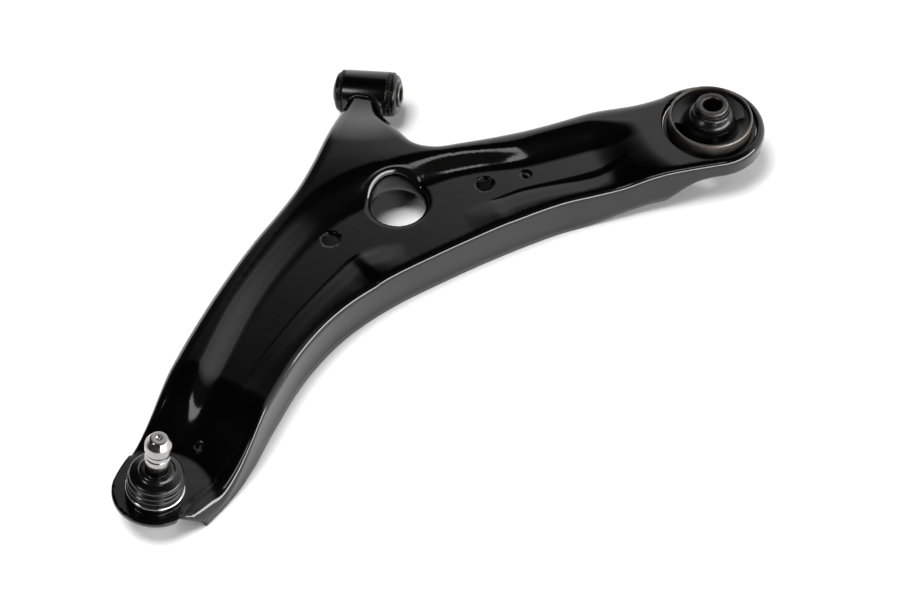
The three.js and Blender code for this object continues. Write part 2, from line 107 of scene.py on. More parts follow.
def spline(points, step):
    """A smooth curve through the points, cut at even steps in plan."""
    p = np.array(points, float)
    p = np.vstack([2 * p[0] - p[1], p, 2 * p[-1] - p[-2]])
    t = np.linspace(0, 1, 60, endpoint=False)[:, None]
    run = []
    for p0, p1, p2, p3 in zip(p, p[1:], p[2:], p[3:]):
        d0, d1, d2 = (np.linalg.norm(b - a) ** 0.5 for a, b in ((p0, p1), (p1, p2), (p2, p3)))
        t1 = ((p1 - p0) / d0 - (p2 - p0) / (d0 + d1) + (p2 - p1) / d1) * d1
        t2 = ((p2 - p1) / d1 - (p3 - p1) / (d1 + d2) + (p3 - p2) / d2) * d1
        run.append(p1 + t1 * t + (3 * (p2 - p1) - 2 * t1 - t2) * t**2 + (2 * (p1 - p2) + t1 + t2) * t**3)
    return even(np.vstack([*run, p[-2]]), step)


def even(run, step):
    """The same line with points about step apart in plan, both ends kept."""
    length = np.append(0, np.cumsum(np.linalg.norm(np.diff(run[:, :2], axis=0), axis=1)))
    count = max(2, round(length[-1] / step))
    at = np.linspace(0, length[-1], count + 1)
    return np.column_stack([np.interp(at, length, run[:, k]) for k in range(run.shape[1])])


def arc(centre, radius, start, end, step, roll=0.0):
    count = max(2, round(abs(math.radians(end - start)) * radius / step))
    a = np.radians(np.linspace(start, end, count + 1))
    return np.column_stack([centre[0] + radius * np.cos(a), centre[1] + radius * np.sin(a),
                            np.full(count + 1, roll)])


def circle(centre, radius, count):
    return arc(centre, radius, 0, 360, 2 * math.pi * radius / count)[:-1, :2]


def joined(*runs):
    """Runs end to end, with points that nearly meet kept once."""
    run = np.vstack(runs)
    keep = np.append(True, np.linalg.norm(np.diff(run[:, :2], axis=0), axis=1) > STEP * 0.3)
    return run[keep]


def nearest(run, xy):
    """For each place: distance to the run, side, the run's third value there, and how far along."""
    a, b = run[:-1], run[1:]
    d = b[:, :2] - a[:, :2]
    length2 = (d**2).sum(1)
    along = np.append(0, np.cumsum(np.sqrt(length2)))
    found = []
    for part in np.array_split(xy, max(1, len(xy) * len(a) // 4_000_000)):
        rel = part[:, None] - a[None, :, :2]
        t = np.clip((rel * d).sum(2) / length2, 0, 1)
        gap = np.linalg.norm(rel - t[..., None] * d, axis=2)
        i = gap.argmin(1)
        rows = np.arange(len(part))
        t = t[rows, i]
        side = np.sign(d[i, 0] * rel[rows, i, 1] - d[i, 1] * rel[rows, i, 0])
        value = a[i, 2] + t * (b[i, 2] - a[i, 2])
        found.append(np.column_stack([gap[rows, i], side, value, along[i] + t * np.sqrt(length2[i])]))
    return np.vstack(found).T


def between(start, end, value):
    t = np.clip((value - start) / (end - start), 0, 1)
    return t * t * (3 - 2 * t)


def ramp(start, end, value):
    """A rise from 0 to 1 that bends tightly where it starts and eases off towards its end."""
    knee = 0.12
    steepest = 4 / (3 - 2 * knee)
    t = np.clip((value - start) / (end - start), 0, 1)
    rise = np.where(t < knee, steepest * t**2 / (2 * knee), steepest * (t - knee / 2))
    return np.where(t > 0.5, 1 - steepest * (1 - t) ** 2, rise)


def mix(a, b, share):
    return a + (b - a) * share


def reach(xy, place):
    return np.linalg.norm(xy - np.asarray(place)[:2], axis=1)


# ---------------------------------------------------------------- outline of the pressing

# Each point is a place in plan and the radius of the rolled edge there.
NEAR_EDGE = spline([
    (-124.4, -215.7, 14), (-116.4, -200.6, 12), (-109.5, -184, 9), (-103.6, -163, 6),
    (-98.4, -137, 5), (-86.5, -91, 5), (-71.2, -56.5, 5), (-53.5, -30.7, 5),
    (-34.5, -9.8, 5), (-14.6, 8.6, 5), (26.2, 43.3, 5), (68.6, 74.5, 5),
    (90.2, 86.5, 5), (132.7, 108.5, 5), (155, 118.3, 5), (177.7, 127.8, 5),
], STEP)
FAR_EDGE = spline([
    (155, 206.6, 5), (144.5, 203, 9), (121, 189.5, 12), (76, 163, 12), (32.5, 136.5, 12),
    (-11, 114, 11), (-31, 105, 10), (-45.5, 105.5, 9), (-61, 120, 9), (-75, 138, 9),
    (-82, 156, 8), (-83, 171, 8),
], STEP)
LEFT_EDGE = spline([
    (-104, 171, 8), (-105, 152, 8), (-108.6, 124, 9), (-111.8, 97, 10), (-115.3, 76, 11),
    (-120.7, 52.5, 12), (-127.5, 33, 13), (-142, -5, 13), (-154.5, -46, 13),
    (-165, -92, 12), (-173.6, -142, 10), (-179, -168, 7), (-182.3, -183, 4),
], STEP)
PLATE_FLANK = spline([(-182.3, -183, 0), (-185, -193.5, 0), (-186.9, -205.1, 0)], STEP)
PLATE_END = spline([(-134.1, -220.2, 0), (-124.4, -215.7, 0)], STEP)

NEAR_WALL = joined(NEAR_EDGE, arc(REAR, 41, -73, 105, STEP, 5), FAR_EDGE)
WALLED = joined(NEAR_WALL, LEFT_EDGE)
clear_of_hole = np.linalg.norm(WALLED[:, :2] - REAR, axis=1) - REAR_HOLE_R - 1
WALLED[:, 2] = np.minimum(WALLED[:, 2], np.maximum(clear_of_hole, 1))

SLOPE_LINE = spline([
    (-155, -205, 8), (-151, -178, 8), (-147, -150, 8), (-142, -111, 9), (-133, -57, 10), (-119.5, -14, 11),
    (-103, 24, 13), (-87, 46, 13), (-70, 60, 13), (-53, 70, 12), (-36, 81, 10), (-18, 91.5, 8), (4, 101, 7),
    (30, 110.5, 8), (50, 122, 10), (75, 136, 10), (100, 148, 9), (125, 160, 8),
], 2)

# Two folds near the near edge. The third value is the width of the short face that falls towards the edge.
LONG_FOLD = spline([
    (-122, -137, 0), (-116.5, -114, 1.1), (-109.5, -90, 1.3), (-93.5, -49.5, 1.4), (-83, -27, 1.7),
    (-76, -12.5, 2.4), (-71, -4, 2.2), (-66, 1.5, 0),
], 1.2)
LENS_FOLD = spline([
    (17, 67, 0), (25, 73, 1.2), (37, 82, 1.8), (50, 89, 2.2), (64, 96, 3), (78, 103.5, 4.2),
    (89, 110.5, 4.6), (98, 118, 3.4), (108, 127.5, 0),
], 1.2)

# Beyond each fold the sheet rises again in a low bead. The third value is the bead's height.
LONG_BEAD = spline([
    (-124, -150, 0), (-119.5, -126, 1.1), (-109.5, -90, 1.9), (-93.5, -49.5, 2.1), (-83, -27, 2.1),
    (-76, -12.5, 2.1), (-67.5, -1, 2), (-59.4, 6, 1.6), (-49.6, 12, 0.9), (-36, 17, 0),
], 1.2)
LENS_BEAD = spline([
    (-2, 52, 0), (10, 61.5, 0.6), (25, 73, 1.1), (50, 89, 1.3), (78, 103.5, 1.4),
    (98, 118, 1.2), (112, 131, 0.4), (118, 136, 0),
], 1.2)
FOLD_SLOPE, BEAD_RISE, BEAD_END = 0.45, 7.0, 32.0

# ---------------------------------------------------------------- height of the pressing


def ball_plate_z(xy):
    a = math.radians(BALL_TOWARDS)
    along = (xy - BALL[:2]) @ np.array([math.cos(a), math.sin(a)])
    return BALL[2] - along * math.tan(math.radians(BALL_LEAN))


def fold_z(fold, bead, xy):
    """A short face down towards the near edge, then a bead that rises and eases off."""
    gap, side, width, _ = nearest(fold, xy)
    past = -gap * side
    fall = FOLD_SLOPE * width * between(-0.3, 0.3 + 1.2 * width, past)
    gap, side, height, _ = nearest(bead, xy)
    past = np.maximum(-gap * side - 0.5, 0)
    return height * (1 - np.exp(-past / BEAD_RISE)) * between(BEAD_END, 10, past) - fall


def plain_z(xy):
    """Top of the sheet before its edges are rolled over, without the button and the dimple."""
    gap, side, half, _ = nearest(SLOPE_LINE, xy)
    hub = np.exp(-((reach(xy, (-60, 90)) / 75) ** 2))
    eye = 1 - between(14, 75, reach(xy, FRONT))
    rail = RAIL_Z + HUB_RISE * hub - EYE_DROP * eye
    channel = mix(FLOOR_Z, rail, between(-half, half, gap * side))
    channel += fold_z(LONG_FOLD, LONG_BEAD, xy) + fold_z(LENS_FOLD, LENS_BEAD, xy)
    to_rear = reach(xy, REAR)
    pad = mix(RECESS_Z, PAD_Z, between(34.7, 36.2, to_rear))
    arm = mix(pad, channel, between(50, 92, to_rear))
    return mix(ball_plate_z(xy), arm, ramp(36.5, 95, reach(xy, PLATE_TOE)))


def crown_z(xy):
    """Top of the sheet before its edges are rolled over."""
    level = BUTTON[None]
    flat = plain_z(level) + ball_plate_z(xy) - ball_plate_z(level) + 0.3
    z = mix(plain_z(xy), flat, between(BUTTON_R + 0.4, BUTTON_R - 0.4, reach(xy, BUTTON)))
    dimple = between(DIMPLE_R, DIMPLE_R - 1.4, reach(xy, DIMPLE))
    disc = between(DIMPLE_R - 1.6, DIMPLE_R - 2.6, reach(xy, DIMPLE))
    return z - 1.1 * dimple + 0.7 * disc


def roll_drop(radius, depth):
    inward = np.clip(radius - depth, 0, radius)
    return radius - np.sqrt(np.maximum(radius**2 - inward**2, 0))


def sheet_z(xy):
    depth, _, radius, _ = nearest(WALLED, xy)
    return crown_z(xy) - roll_drop(radius, depth) - roll_drop(LIP_R, reach(xy, MAIN_HOLE) - MAIN_HOLE_R)


def hem_z(xy):
    """Lower edge of the side walls: it stands on the ground and rises towards the rear bush and the eye."""
    to_rear = reach(xy, REAR)
    near_pad = mix(26, 9, between(41, 62, to_rear)) * (1 - between(62, 125, to_rear))
    return near_pad + 4 * (1 - between(14, 50, reach(xy, FRONT)))


# ---------------------------------------------------------------- meshes


class Shell:
    """Vertices and faces that are added bit by bit, with shared vertices found by their place."""

    def __init__(self):
        self.points, self.faces, self.index = [], [], {}

    def add(self, points):
        """Adds points, or finds them where they are already there, and returns their numbers."""
        numbers = []
        for p in np.asarray(points, float):
            key = tuple(np.round(p, 3))
            if key not in self.index:
                self.index[key] = len(self.points)
                self.points.append(p)
            numbers.append(self.index[key])
        return np.array(numbers)

    def grid(self, rows, closed=False):
        """Quads between rows of points, given from the left of the outside to its right as rows go on."""
        numbers = [self.add(row) for row in rows]
        for a, b in zip(numbers, numbers[1:]):
            ends = (np.roll(a, -1), np.roll(b, -1)) if closed else (a[1:], b[1:])
            for quad in zip(a, ends[0], ends[1], b):
                corners = list(dict.fromkeys(quad))
                if len(corners) > 2:
                    self.faces.append(corners)


def mesh_object(name, points, faces, mat, sharp=None):
    """A mesh in the model's frame, from millimetres in the layout."""
    mesh = bpy.data.meshes.new(name)
    mesh.from_pydata(((np.asarray(points) - ORIGIN) * MM).tolist(), [], [list(map(int, f)) for f in faces])
    mesh.validate()
    mesh.materials.append(mat)
    mesh.shade_smooth()
    if sharp:
        mesh.set_sharp_from_angle(angle=math.radians(sharp))
    obj = bpy.data.objects.new(name, mesh)
    bpy.context.scene.collection.objects.link(obj)
    return obj


def edge_columns():
    """Columns of the rolled edge: where each starts on the outline, which way is inwards, and its roll."""
    tangent = unit(np.gradient(WALLED[:, :2], axis=0))
    inwards = np.column_stack([-tangent[:, 1], tangent[:, 0]])
    end_cut = unit(PLATE_END[0, :2] - PLATE_END[-1, :2])
    from_start = np.append(0, np.cumsum(np.linalg.norm(np.diff(WALLED[:, :2], axis=0), axis=1)))
    share = between(0, 30, from_start)[:, None]
    return WALLED[:, :2], unit(mix(end_cut, inwards, share)), WALLED[:, 2]


ROLL_ANGLES = np.radians([90, 78, 66, 55, 45, 36, 28, 20, 12, 5, 0])
WALL_ROWS = [0.06, 0.2, 0.4, 0.6, 0.8, 1.0]


def rolled_rows():
    """Rows of points from the top of the rolled edge down the side wall to its hem."""
    start, inwards, roll = edge_columns()
    rows = []
    for angle in ROLL_ANGLES:
        depth = roll * (1 - math.cos(angle))
        xy = start + inwards * depth[:, None]
        rows.append(np.column_stack([xy, crown_z(xy) - roll_drop(roll, depth)]))
    top, bottom = rows[-1][:, 2], hem_z(start)
    for share in WALL_ROWS:
        rows.append(np.column_stack([start, mix(top, np.minimum(bottom, top - 1), share)]))
    return rows


def inner_loop(rows):
    """Outline of the field inside the rolled edge, the plate's free edge included."""
    top = rows[0][:, :2]
    free = [PLATE_FLANK, arc(BALL, 28, 175, 333, STEP), PLATE_END]
    free = np.vstack([run[1:-1, :2] for run in free])
    first_column = np.array([row[0, :2] for row in rows[1:len(ROLL_ANGLES)]])[::-1]
    clear = reach(free, first_column[0]) > np.linalg.norm(first_column[0] - top[0]) + STEP * 0.5
    last_column = np.array([row[-1, :2] for row in rows[1:len(ROLL_ANGLES)]])
    return np.vstack([top, last_column, free[clear]]), first_column


def inside(loop, xy):
    """Which places are inside a closed run of points."""
    x, y = xy[:, 0, None], xy[:, 1, None]
    a, b = loop, np.roll(loop, -1, axis=0)
    crosses = (a[:, 1] > y) != (b[:, 1] > y)
    with np.errstate(divide="ignore", invalid="ignore"):
        at = a[:, 0] + (b[:, 0] - a[:, 0]) * (y - a[:, 1]) / (b[:, 1] - a[:, 1])
    return (crosses & (x < at)).sum(1) % 2 == 1


def thinned(xy, spacing):
    """The places with those left out that share a small square of the plan with an earlier one."""
    _, first = np.unique(np.round(xy / spacing), axis=0, return_index=True)
    return xy[np.sort(first)]


def field_points(loop, holes):
    """Places inside the loop, in even rows and closer together at small features."""
    width, depth = np.ptp(loop, axis=0)
    rows = np.arange(0, depth, STEP * 0.866)
    columns = np.arange(0, width, STEP)
    x, y = np.meshgrid(columns, rows)
    x = x + (np.arange(len(rows)) % 2)[:, None] * STEP / 2
    xy = np.column_stack([x.ravel(), y.ravel()]) + loop.min(0)
    fine = [circle(BUTTON, r, 40) for r in (2.9, 3.4, 3.9, 4.6)]
    fine += [circle(DIMPLE, r, 40) for r in (1.8, 2.3, 2.8, 3, 3.7, 4.4, 5.2)]
    xy = xy[(reach(xy, BUTTON) > 5.6) & ((reach(xy, DIMPLE) > 6.2) | (reach(xy, DIMPLE) < 1))]
    for fold in (LONG_FOLD, LENS_FOLD):
        gap, side, width, _ = nearest(fold, xy)
        past = -gap * side
        xy = xy[(past < -1.2) | (past > 1.3 * width + 2)]
        aside = unit(np.gradient(fold[:, :2], axis=0)) @ np.array([[0, -1], [1, 0]])
        for base, share in ((-0.9, 0), (-0.3, 0), (0.2, 0.2), (0.3, 0.6), (0.4, 1.0), (0.7, 1.2), (1.3, 1.25)):
            fine.append(fold[:, :2] + aside * (base + share * fold[:, 2])[:, None])
    rings = [(MAIN_HOLE, MAIN_HOLE_R + LIP_R + more, 120) for more in (1.2, 2.8)]
    rings += [(REAR, radius, 170) for radius in (34.9, 35.3, 35.7, 36.2, 37.4)]
    rings += [(PLATE_TOE[:2], radius, 110) for radius in (36.4, 38, 39.8, 41.8)]
    for centre, radius, count in rings:
        ring = circle(centre, radius, count)
        fine.append(ring)
        xy = xy[abs(reach(xy, centre) - radius) > 0.9]
    fine = thinned(np.vstack(fine), 0.28)
    xy = np.vstack([xy, fine])
    xy = xy[inside(loop, xy)]
    closed = np.column_stack([np.vstack([loop, loop[:1]]), np.zeros(len(loop) + 1)])
    xy = xy[nearest(closed, xy)[0] > STEP * 0.3]
    for centre, radius in holes:
        xy = xy[reach(xy, centre) > radius + 0.7]
    return xy


def add_field(shell, loop, holes):
    """Triangles of the field, between the loop and the edges of the holes."""
    rims = [circle(centre, radius, 120 if radius > 10 else 56) for centre, radius in holes]
    inner = field_points(loop, holes)
    runs = [loop, *rims]
    points, edges = [inner], []
    count = len(inner)
    for run in runs:
        numbers = np.arange(len(run)) + count
        edges += list(zip(numbers.tolist(), np.roll(numbers, -1).tolist()))
        points.append(run)
        count += len(run)
    flat = np.vstack(points)
    made = delaunay_2d_cdt([Vector(p) for p in flat], edges, [], 0, 1e-4)
    xy, faces = np.array([tuple(v) for v in made[0]]), np.array(made[2])
    middle = xy[faces].mean(1)
    keep = inside(loop, middle)
    for rim in rims:
        keep &= ~inside(rim, middle)
    numbers = shell.add(np.column_stack([xy, sheet_z(xy)]))
    for face in faces[keep]:
        corners = list(dict.fromkeys(numbers[face]))
        if len(corners) == 3:
            shell.faces.append(corners)


def collar_rows():
    """Rows of points down the rolled lip and the collar of the main hole."""
    rows = []
    for angle in ROLL_ANGLES:
        radius = MAIN_HOLE_R + LIP_R * (1 - math.cos(angle))
        xy = circle(MAIN_HOLE, radius, 120)
        z = crown_z(xy) - roll_drop(LIP_R, np.full(len(xy), radius - MAIN_HOLE_R))
        rows.append(np.column_stack([xy, z]))
    top = rows[-1]
    for share in (0.3, 0.65, 1.0):
        rows.append(np.column_stack([top[:, :2], mix(top[:, 2], COLLAR_Z, share)]))
    return rows


def eye_matrix():
    return Matrix.Translation(FRONT) @ Matrix.Rotation(math.radians(90 - FRONT_RISE), 4, "Y")


def rear_matrix():
    return Matrix.Translation((*REAR, 0))


def ball_matrix():
    turn = Matrix.Rotation(math.radians(BALL_TOWARDS), 4, "Z")
    turn = turn @ Matrix.Rotation(math.radians(BALL_LEAN), 4, "Y")
    return Matrix.Translation(BALL) @ turn


def local(matrix, points):
    m = np.array(matrix.inverted())
    return points @ m[:3, :3].T + m[:3, 3]


def placed(matrix, points):
    m = np.array(matrix)
    return points @ m[:3, :3].T + m[:3, 3]


def cut_at_cylinder(points, faces, matrix, radius, half_length):
    """Drops the faces inside a cylinder round a local Z axis, and brings the edge left onto it."""
    here = local(matrix, points)
    from_axis = np.linalg.norm(here[:, :2], axis=1)
    within = (from_axis < radius) & (abs(here[:, 2]) < half_length)
    faces = [f for f in faces if not all(within[i] for i in f)]
    used = np.zeros(len(points), bool)
    used[[i for f in faces for i in f]] = True
    moved = within & used
    here[moved, :2] *= (radius / from_axis[moved])[:, None]
    return placed(matrix, here), faces


def vertex_normals(points, faces):
    normals = np.zeros_like(points)
    for size in (3, 4):
        f = np.array([g for g in faces if len(g) == size])
        if not len(f):
            continue
        if size == 3:
            n = np.cross(points[f[:, 1]] - points[f[:, 0]], points[f[:, 2]] - points[f[:, 0]])
        else:
            n = np.cross(points[f[:, 2]] - points[f[:, 0]], points[f[:, 3]] - points[f[:, 1]])
        for k in range(size):
            np.add.at(normals, f[:, k], n)
    return unit(normals + 1e-12)


def boundary_edges(faces):
    """Edges of one face only, in that face's direction."""
    seen = set()
    for f in faces:
        for a, b in zip(f, f[1:] + f[:1]):
            if (b, a) in seen:
                seen.discard((b, a))
            else:
                seen.add((a, b))
    return seen


def thickened(points, faces, thickness, rounding=0.35):
    """A closed sheet: the outer faces, the same faces a thickness further in, and a rounded rim."""
    normals = vertex_normals(points, faces)
    edges = sorted(boundary_edges(faces))
    outwards = np.zeros_like(points)
    for a, b in edges:
        out = np.cross(points[b] - points[a], normals[a])
        outwards[a] += out
        outwards[b] += out
    rim = np.array(sorted({a for edge in edges for a in edge}))
    out = unit(outwards[rim])
    outer = points.copy()
    outer[rim] -= out * rounding
    inner = points - normals * thickness
    inner[rim] -= out * rounding
    n = len(points)
    a_row = points[rim] - normals[rim] * rounding
    b_row = points[rim] - normals[rim] * (thickness - rounding)
    where = {int(v): k for k, v in enumerate(rim)}
    all_points = np.vstack([outer, inner, a_row, b_row])
    all_faces = [list(f) for f in faces] + [[i + n for i in f[::-1]] for f in faces]
    m = len(rim)
    for a, b in edges:
        ka, kb = where[int(a)], where[int(b)]
        columns = [(a, b), (2 * n + ka, 2 * n + kb), (2 * n + m + ka, 2 * n + m + kb), (a + n, b + n)]
        for (p, q), (r, s) in zip(columns, columns[1:]):
            all_faces.append([q, p, r, s])
    return all_points, all_faces


def pressing(mat):
    shell = Shell()
    rows = rolled_rows()
    shell.grid([row[::-1] for row in rows])
    loop, first_column = inner_loop(rows)
    loop = np.vstack([loop, first_column])
    holes = [(MAIN_HOLE, MAIN_HOLE_R + LIP_R), (REAR, REAR_HOLE_R), (BALL[:2], PLATE_HOLE_R),
             *[(hole, SMALL_HOLE_R) for hole in SMALL_HOLES]]
    add_field(shell, loop, holes)
    shell.grid(collar_rows(), closed=True)
    points, faces = cut_at_cylinder(np.array(shell.points), shell.faces, eye_matrix(), EYE_R + 0.3, 40)
    points, faces = thickened(points, faces, SHEET)
    return mesh_object("pressed_arm", points, faces, mat, sharp=50)


def add(obj, body, *nodes, slot):
    """Lets a piece ride on a body, in place of its CAD nodes. The slot argument is not used."""
    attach(obj, body)
    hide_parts(*nodes)
    return obj


# ---------------------------------------------------------------- turned pieces


def rounded(profile, radius=0.4, closed=True):
    """The profile with each corner turned into a short arc."""
    p = np.array(profile, float)
    count = len(p)
    made = []
    for i, corner in enumerate(p):
        if not closed and i in (0, count - 1):
            made.append(corner)
            continue
        before, after = p[i - 1] - corner, p[(i + 1) % count] - corner
        cut = min(radius, 0.42 * np.linalg.norm(before), 0.42 * np.linalg.norm(after))
        a, b = corner + unit(before) * cut, corner + unit(after) * cut
        for t in (0, 0.33, 0.67, 1):
            made.append((1 - t) ** 2 * a + 2 * t * (1 - t) * corner + t**2 * b)
    return np.array(made)


def turned(name, profile, matrix, mat, sides=TURNED_SIDES, shape=None, sharp=None):
    """A piece turned round a local Z axis. Its profile runs upwards on the outside. With both ends on the
    axis it is solid, and otherwise it closes on itself. shape(r, h, angle) may move its points."""
    profile = np.array(profile, float)
    solid = profile[0, 0] < 1e-6
    angles = np.radians(np.arange(sides) * 360 / sides)
    shell = Shell()
    rows = []
    for r, h in profile if solid else np.vstack([profile, profile[:1]]):
        radii, heights = np.full(sides, r), np.full(sides, h)
        if shape:
            radii, heights = shape(radii, heights, angles)
        rows.append(np.column_stack([radii * np.cos(angles), radii * np.sin(angles), heights]))
    shell.grid([row[::-1] for row in rows], closed=True)
    return mesh_object(name, placed(matrix, np.array(shell.points)), shell.faces, mat, sharp)


def tube(outer, inner, low_h, high_h):
    return [(outer, low_h), (outer, high_h), (inner, high_h), (inner, low_h)]


def circle_run(radius, height, start, end, count):
    """Points of an arc in a profile, with angles in degrees."""
    a = np.radians(np.linspace(start, end, count))
    return [(radius * math.cos(t), height + radius * math.sin(t)) for t in a]


def smooth_run(points, step=0.35):
    return [tuple(p[:2]) for p in spline([(x, y, 0) for x, y in points], step)]


# ---------------------------------------------------------------- front bush

EYE_END = 17.3


def eye_tube(mat):
    return turned("front_eye", rounded(tube(17, 14.5, -17, 17), 0.7), eye_matrix(), mat)


def press_sleeve(mat):
    return turned("front_press_sleeve", rounded(tube(14.2, 12.9, -17, 17), 0.3), eye_matrix(), mat)


def end_ring(name, side, mat):
    """A moulded ring with a row of notches round it."""
    profile = tube(16.7, 13, EYE_END, EYE_END + 2.7)
    if side < 0:
        profile = [(r, -h) for r, h in profile][::-1]

    def notched(radii, heights, angles):
        notch = between(0.35, 0.75, np.cos(angles * 34))
        return radii - np.where(radii > 15.5, 1.5 * notch, 0), heights

    return turned(name, rounded(profile, 0.35), eye_matrix(), mat, sides=340, shape=notched)


def front_rubber(mat):
    base = EYE_END + 3
    dome = smooth_run([(15.3, base + 0.2), (15.2, base + 1.2), (14.3, base + 2.5), (12.6, base + 3.4),
                       (11, base + 3.5), (10.1, base + 2.9), (9.5, base + 2.4)])
    dome = [(12.6, base), (15.1, base), *dome, (9.3, base + 2.4)]
    under = [(r, -h) for r, h in dome][::-1]
    return turned("front_rubber", [*under, *dome], eye_matrix(), mat)


def front_sleeve(mat):
    profile = [
        (9, -24.8), (9, 24.8), (8.4, 25.4), (6.5, 25.4), (6, 24.9), (6, -24.9), (6.5, -25.4), (8.4, -25.4),
    ]
    return turned("front_inner_tube", rounded(profile, 0.25), eye_matrix(), mat)


# ---------------------------------------------------------------- rear bush

SPHERE_R = 21.6                               # joint face between the rubber's core and its webs
WEB_LOW, WEB_HIGH, WEB_DISH = 18.0, 45.0, 41.4


def socket_r(height, radius=SPHERE_R):
    return math.sqrt(radius**2 - (height - PIVOT_Z) ** 2)


def rear_ring(mat):
    return turned("rear_ring", rounded(tube(34.4, 31.3, 19, 36.9), 0.4), rear_matrix(), mat, sides=160)


def rear_press_sleeve(mat):
    profile = [(31, 16.6), (31, 47.3), (30.5, 48), (29.5, 48), (28.9, 47.4), (28.9, 16), (30.4, 16)]
    return turned("rear_press_sleeve", rounded(profile, 0.3), rear_matrix(), mat, sides=160)


def rear_core(mat):
    """Rubber on the inner sleeve: a ball face inside the webs, a bulb above them and a neck."""
    ball = [(socket_r(h), h) for h in np.linspace(18.6, 44.6, 26)]
    bulb = smooth_run([(17.1, 44.9), (17.2, 46.6), (16.9, 48.6), (16, 50.6), (14.6, 52.3), (13.4, 53.6),
                       (12.8, 55), (12.6, 56.6)])
    profile = [
        (11.9, 24), (12.6, 20.4), (14.6, 18.4), (16.4, 18.1), *ball, *bulb,
        (12.7, 57.2), (12.2, 57.7), (11.9, 57.6),
    ]
    return turned("rear_rubber_core", profile, rear_matrix(), mat)


def kidney(start, grow):
    """Outline of a void in plan, grown by an amount all round."""
    middle, half_width, half_length, corner = 22.4, 5 + grow, 16.4 + grow, 3 + grow
    run = []
    for k, (u, v) in enumerate(((1, 1), (-1, 1), (-1, -1), (1, -1))):
        cx, cy = u * (half_length - corner), v * (half_width - corner)
        for a in np.radians(np.linspace(k * 90, k * 90 + 90, 8)):
            run.append((cx + corner * math.cos(a), cy + corner * math.sin(a)))
    run = even(np.array([*run, run[0]]), 1.1)[:-1]
    angle = math.radians(start + 42) + run[:, 0] / middle
    radius = middle + run[:, 1]
    return np.column_stack([radius * np.cos(angle), radius * np.sin(angle)])[::-1]


def void_cutter(start, mat):
    """A kidney-shaped post that flares where it leaves the rubber, so that the void's edges are round."""
    flare = [(1.5, -2.2), (0.3, -0.2), (0.12, 0.3), (0, 1)]
    rows = []
    for grow, depth in flare:
        plan = kidney(start, grow)
        rows.append(np.column_stack([plan, np.full(len(plan), WEB_LOW + depth)]))
    for grow, depth in flare[::-1]:
        plan = kidney(start, grow)
        rows.append(np.column_stack([plan, np.full(len(plan), WEB_HIGH - 0.4 - depth)]))
    shell = Shell()
    count = min(len(r) for r in rows)
    rows = [r[np.linspace(0, len(r) - 1, count).round().astype(int)] for r in rows]
    shell.grid(rows, closed=True)
    bottom, top = shell.add(rows[0]), shell.add(rows[-1])
    shell.faces += [list(bottom), list(top)[::-1]]
    return mesh_object("void_cutter", placed(rear_matrix(), np.array(shell.points)), shell.faces, mat)


def apply_modifiers(obj):
    ready = bpy.data.meshes.new_from_object(obj.evaluated_get(bpy.context.evaluated_depsgraph_get()))
    obj.modifiers.clear()
    obj.data = ready


def rear_webs(mat):
    """Rubber bonded in the outer sleeve: two webs with a void through each side."""
    socket = [(socket_r(h, SPHERE_R + 0.15), h) for h in np.linspace(WEB_DISH, WEB_LOW + 0.4, 24)]
    top = smooth_run([(28.5, WEB_HIGH), (26.4, 44.6), (24.2, 43.9), (21.8, 42.8), (20.2, 42)], 0.6)
    profile = [(27.8, WEB_LOW), (28.6, WEB_LOW + 0.6), (28.6, WEB_HIGH - 0.3), *top, *socket, (17.6, WEB_LOW)]
    web = turned("rear_rubber_webs", profile, rear_matrix(), mat, sides=144)
    cutters = [void_cutter(start, mat) for start in (15, 197)]
    for cutter in cutters:
        cut = web.modifiers.new("void", "BOOLEAN")
        cut.operation, cut.solver, cut.object = "DIFFERENCE", "EXACT", cutter
    apply_modifiers(web)
    for cutter in cutters:
        bpy.data.objects.remove(cutter)
    web.data.shade_smooth()
    web.data.set_sharp_from_angle(angle=math.radians(38))
    return web


def rear_sleeve(mat):
    profile = [(11.6, 3.6), (11.6, 59.6), (10.9, 60.4), (8.1, 60.4), (7, 59.4), (7, 4), (8, 3), (11, 3)]
    return turned("rear_inner_tube", rounded(profile, 0.25), rear_matrix(), mat)


# ---------------------------------------------------------------- ball joint


def joint_housing(mat):
    profile = [(16.2, -3.9), (16.2, 4.2), (14.6, 4.2), (11.6, 0.5), (11.6, -1.2), (13.5, -1.6), (13.5, -17.1),
               (15.2, -17.1), (15.2, -18.8), (16.8, -18.8), (19, -15.4), (19, -3.9)]
    return turned("joint_housing", rounded(profile, 0.6), ball_matrix(), mat)


def joint_cap(mat):
    profile = [(0, -18), (6, -18), (7.5, -18.7), (14.2, -18.8), (14.9, -18.2), (14.9, -17.4), (0, -17.4)]
    return turned("joint_end_cap", [profile[0], *rounded(profile[1:-1], 0.4), profile[-1]], ball_matrix(), mat)


def stud(mat):
    head = circle_run(10.5, -6.5, -60, 57.8, 26)
    shank = [(5.6, 3.6), (6.2, 10), (6.3, 21), (7.4, 28), (8.4, 33.4), (8.4, 37.2), (7.7, 38.4), (7.5, 39.2),
             (7.5, 41), (7.8, 41.9), (8.6, 42.8), (8.8, 44), (8.8, 49.4), (8.4, 50.4), (5.8, 54.6), (5.2, 55),
             (2.1, 55), (1.9, 54.8), (0.3, 52.9)]
    outside = rounded([*head, *shank], 0.3, closed=False)
    return turned("ball_stud_turned", [(0, -15.6), *outside, (0, 52.8)], ball_matrix(), mat)


